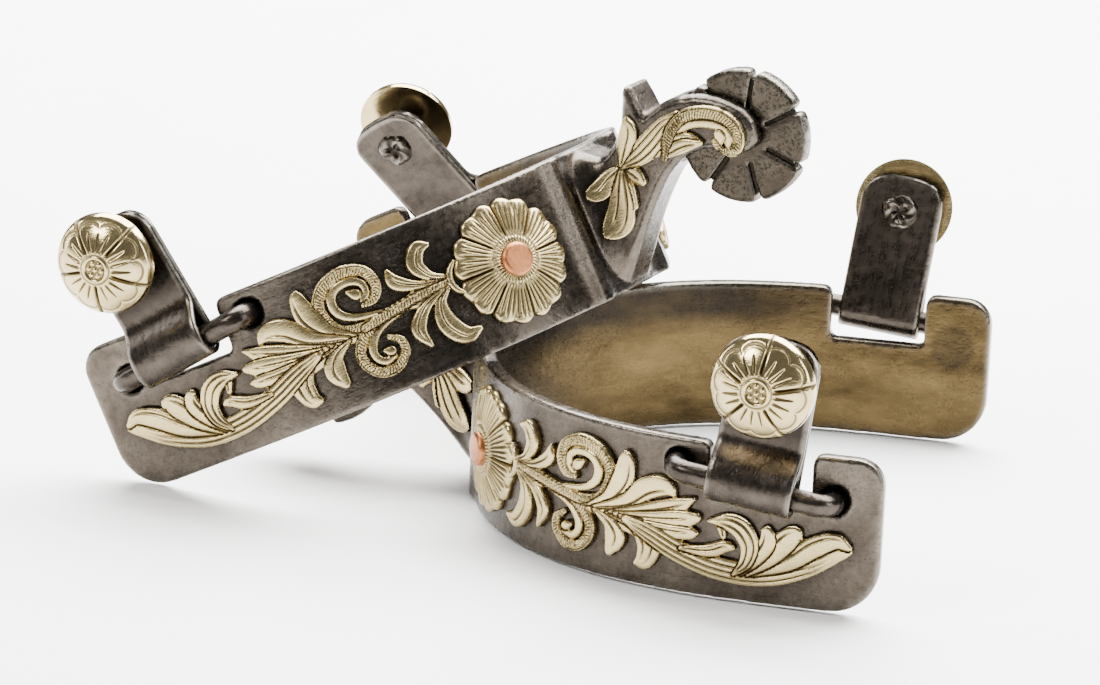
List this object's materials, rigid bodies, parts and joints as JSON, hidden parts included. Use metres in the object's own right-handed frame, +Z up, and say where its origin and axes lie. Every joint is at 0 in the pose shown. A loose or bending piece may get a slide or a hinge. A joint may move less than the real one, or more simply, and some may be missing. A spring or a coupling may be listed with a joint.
{
  "type": "pair of western spurs",
  "caption": "Pair of western show spurs: U-shaped heel bands with button hangers, curved forked shanks, petal rowels and leaf overlays, one leaning on the other.",
  "frame": {"origin": "middle of the pair's bounding box, on the surface that it stands on", "axes": "+X is the right spur's direction from heel to toe, +Y the right spur's left, +Z up; the right spur stands level on the lower edges of its band"},
  "size_m": [0.1412, 0.1416, 0.0723],
  "materials": {
    "band_steel": "antiqued brushed steel, dark in the hollows, bright on worn edges",
    "shank_steel": "antiqued cast steel, polished on the edges",
    "rowel_steel": "antiqued steel, finely pitted",
    "pin_steel": "plain steel",
    "bar_steel": "antiqued steel bar",
    "hanger_steel": "antiqued steel strap with a brushed grain",
    "rivet_metal": "peened steel",
    "nickel_silver": "polished pale nickel silver, engraved, with dark lines in the cuts",
    "copper": "satin copper"
  },
  "bodies": {
    "right_spur": {"right_heel_band": "band_steel", "right_shank": "shank_steel", "right_rowel_pin": "pin_steel", "right_outer_hanger_bar": "bar_steel", "right_outer_band_overlay": "nickel_silver", "right_outer_rosette": "nickel_silver", "right_outer_rosette_centre": "copper", "right_outer_shank_overlay": "nickel_silver", "right_inner_hanger_bar": "bar_steel", "right_inner_band_overlay": "nickel_silver", "right_inner_rosette": "nickel_silver", "right_inner_rosette_centre": "copper", "right_inner_shank_overlay": "nickel_silver"},
    "right_rowel_wheel": {"right_rowel": "rowel_steel"},
    "right_outer_strap_hanger": {"right_outer_hanger": "hanger_steel", "right_outer_button": "nickel_silver", "right_outer_button_rivet": "rivet_metal"},
    "right_inner_strap_hanger": {"right_inner_hanger": "hanger_steel", "right_inner_button": "nickel_silver", "right_inner_button_rivet": "rivet_metal"},
    "left_spur": {"left_heel_band": "band_steel", "left_shank": "shank_steel", "left_rowel_pin": "pin_steel", "left_outer_hanger_bar": "bar_steel", "left_outer_band_overlay": "nickel_silver", "left_outer_rosette": "nickel_silver", "left_outer_rosette_centre": "copper", "left_outer_shank_overlay": "nickel_silver", "left_inner_hanger_bar": "bar_steel", "left_inner_band_overlay": "nickel_silver", "left_inner_rosette": "nickel_silver", "left_inner_rosette_centre": "copper", "left_inner_shank_overlay": "nickel_silver"},
    "left_rowel_wheel": {"left_rowel": "rowel_steel"},
    "left_outer_strap_hanger": {"left_outer_hanger": "hanger_steel", "left_outer_button": "nickel_silver", "left_outer_button_rivet": "rivet_metal"},
    "left_inner_strap_hanger": {"left_inner_hanger": "hanger_steel", "left_inner_button": "nickel_silver", "left_inner_button_rivet": "rivet_metal"}
  },
  "joints": [
    {"name": "right_rowel_spin", "type": "hinge", "parent": "right_spur", "child": "right_rowel_wheel", "pos_m": [-0.03429, -0.00795, 0.0169], "axis": [0, 1, 0], "continuous": true},
    {"name": "right_outer_hanger_swing", "type": "hinge", "parent": "right_spur", "child": "right_outer_strap_hanger", "pos_m": [0.04978, -0.06127, 0.0198], "axis": [0.9915, -0.0564, -0.1174], "range_deg": [-65, 120]},
    {"name": "right_inner_hanger_swing", "type": "hinge", "parent": "right_spur", "child": "right_inner_strap_hanger", "pos_m": [0.04978, 0.04536, 0.0198], "axis": [-0.9915, -0.0564, 0.1174], "range_deg": [-73, 112]},
    {"name": "left_spur_lift", "type": "slide", "parent": "right_spur", "child": "left_spur", "axis": [0, 0, 1], "range_m": [0, 0.08]},
    {"name": "left_rowel_spin", "type": "hinge", "parent": "left_spur", "child": "left_rowel_wheel", "pos_m": [0.03411, -0.00133, 0.0611], "axis": [-0.2011, -0.9796, 0], "continuous": true},
    {"name": "left_outer_hanger_swing", "type": "hinge", "parent": "left_spur", "child": "left_outer_strap_hanger", "pos_m": [-0.05078, -0.03834, 0.02446], "axis": [0.8168, -0.1101, 0.5663], "range_deg": [-69, 116]},
    {"name": "left_inner_hanger_swing", "type": "hinge", "parent": "left_spur", "child": "left_inner_strap_hanger", "pos_m": [-0.02934, 0.06612, 0.02446], "axis": [-0.7942, 0.2206, -0.5663], "range_deg": [-40, 145]}
  ]
}
